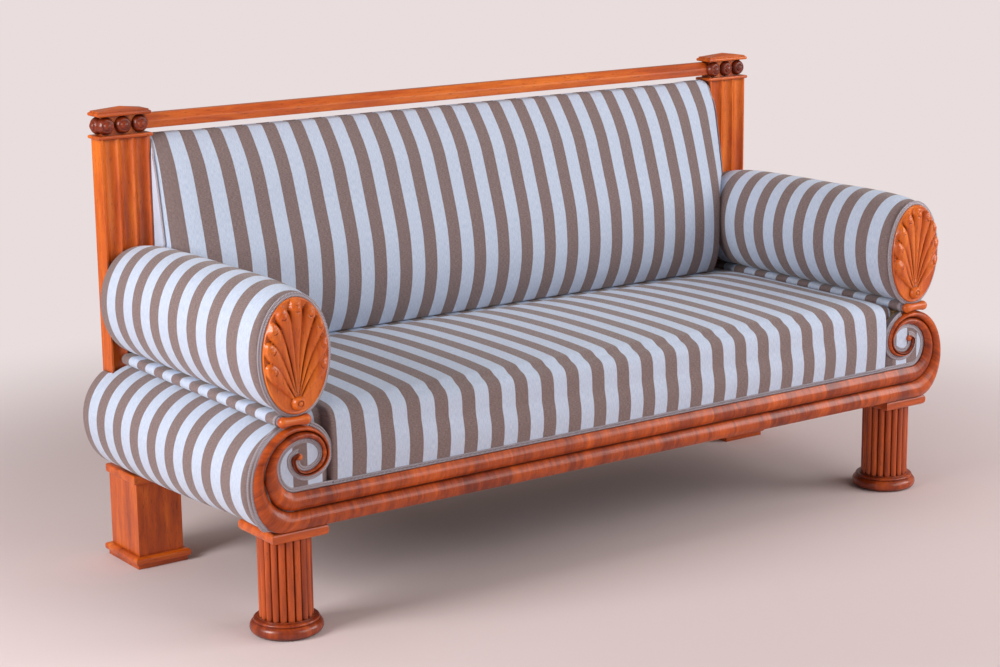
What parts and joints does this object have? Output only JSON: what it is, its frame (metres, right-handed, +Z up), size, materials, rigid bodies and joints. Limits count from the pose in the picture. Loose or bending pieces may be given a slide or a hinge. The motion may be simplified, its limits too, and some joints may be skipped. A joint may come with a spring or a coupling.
{
  "type": "sofa",
  "caption": "Upholstered sofa with scroll-fronted arms under oval bolsters, a padded back between fluted posts, reeded front columns and square rear piers.",
  "frame": {"origin": "on the floor under the middle of the sofa", "axes": "+X along the seat, +Y towards the back, +Z up"},
  "size_m": [1.95, 0.7773, 1.014],
  "materials": {
    "cherry_wood": "shellac polished cherry veneer",
    "turned_wood": "shellac polished, darker turned wood",
    "frame_wood": "raw planed softwood",
    "striped_fabric": "woven cotton satin in light blue and taupe stripes",
    "braid": "grey-blue woven gimp",
    "linen_webbing": "coarse jute",
    "spring_steel": "bright drawn wire",
    "black_cloth": "thin black lining cloth"
  },
  "bodies": {
    "root": {"front_leg_column_left": "cherry_wood", "front_leg_column_right": "cherry_wood", "front_foot_ring_left": "cherry_wood", "front_foot_ring_right": "cherry_wood", "front_abacus_left": "cherry_wood", "front_abacus_right": "cherry_wood", "rear_pier_left": "cherry_wood", "rear_pier_right": "cherry_wood", "rear_plinth_left": "cherry_wood", "rear_plinth_right": "cherry_wood", "rear_pier_cap_left": "cherry_wood", "rear_pier_cap_right": "cherry_wood", "front_seat_rail": "frame_wood", "back_seat_rail": "frame_wood", "side_seat_rail_left": "frame_wood", "side_seat_rail_right": "frame_wood", "seat_braces": "frame_wood", "corner_blocks": "frame_wood", "seat_webbing": "linen_webbing", "seat_springs": "spring_steel", "spring_hessian": "linen_webbing", "dust_cover": "black_cloth", "front_rail_moulding": "cherry_wood", "scroll_moulding_left": "cherry_wood", "scroll_moulding_right": "cherry_wood", "volute_panel_left": "striped_fabric", "volute_panel_right": "striped_fabric", "volute_board_left": "frame_wood", "volute_board_right": "frame_wood", "arm_uprights": "frame_wood", "arm_rail_left": "frame_wood", "arm_rail_right": "frame_wood", "side_roll_left": "striped_fabric", "side_roll_right": "striped_fabric", "arm_spacer_roll_left": "striped_fabric", "arm_spacer_roll_right": "striped_fabric", "arm_spool_left": "turned_wood", "arm_spool_right": "turned_wood", "arm_end_boards": "frame_wood", "arm_laths": "frame_wood", "arm_bolster_left": "striped_fabric", "arm_bolster_right": "striped_fabric", "arm_plaque_left": "cherry_wood", "arm_plaque_right": "cherry_wood", "back_post_left": "cherry_wood", "back_post_right": "cherry_wood", "post_neck_plate_left": "cherry_wood", "post_neck_plate_right": "cherry_wood", "capital_block_left": "cherry_wood", "capital_block_right": "cherry_wood", "capital_balls": "turned_wood", "capital_cap_left": "cherry_wood", "capital_cap_right": "cherry_wood", "top_rail": "cherry_wood", "back_frame": "frame_wood", "back_webbing": "linen_webbing", "outside_back_cloth": "striped_fabric", "back_cushion": "striped_fabric", "seat_cushion": "striped_fabric", "seat_gimp": "braid"}
  },
  "joints": []
}
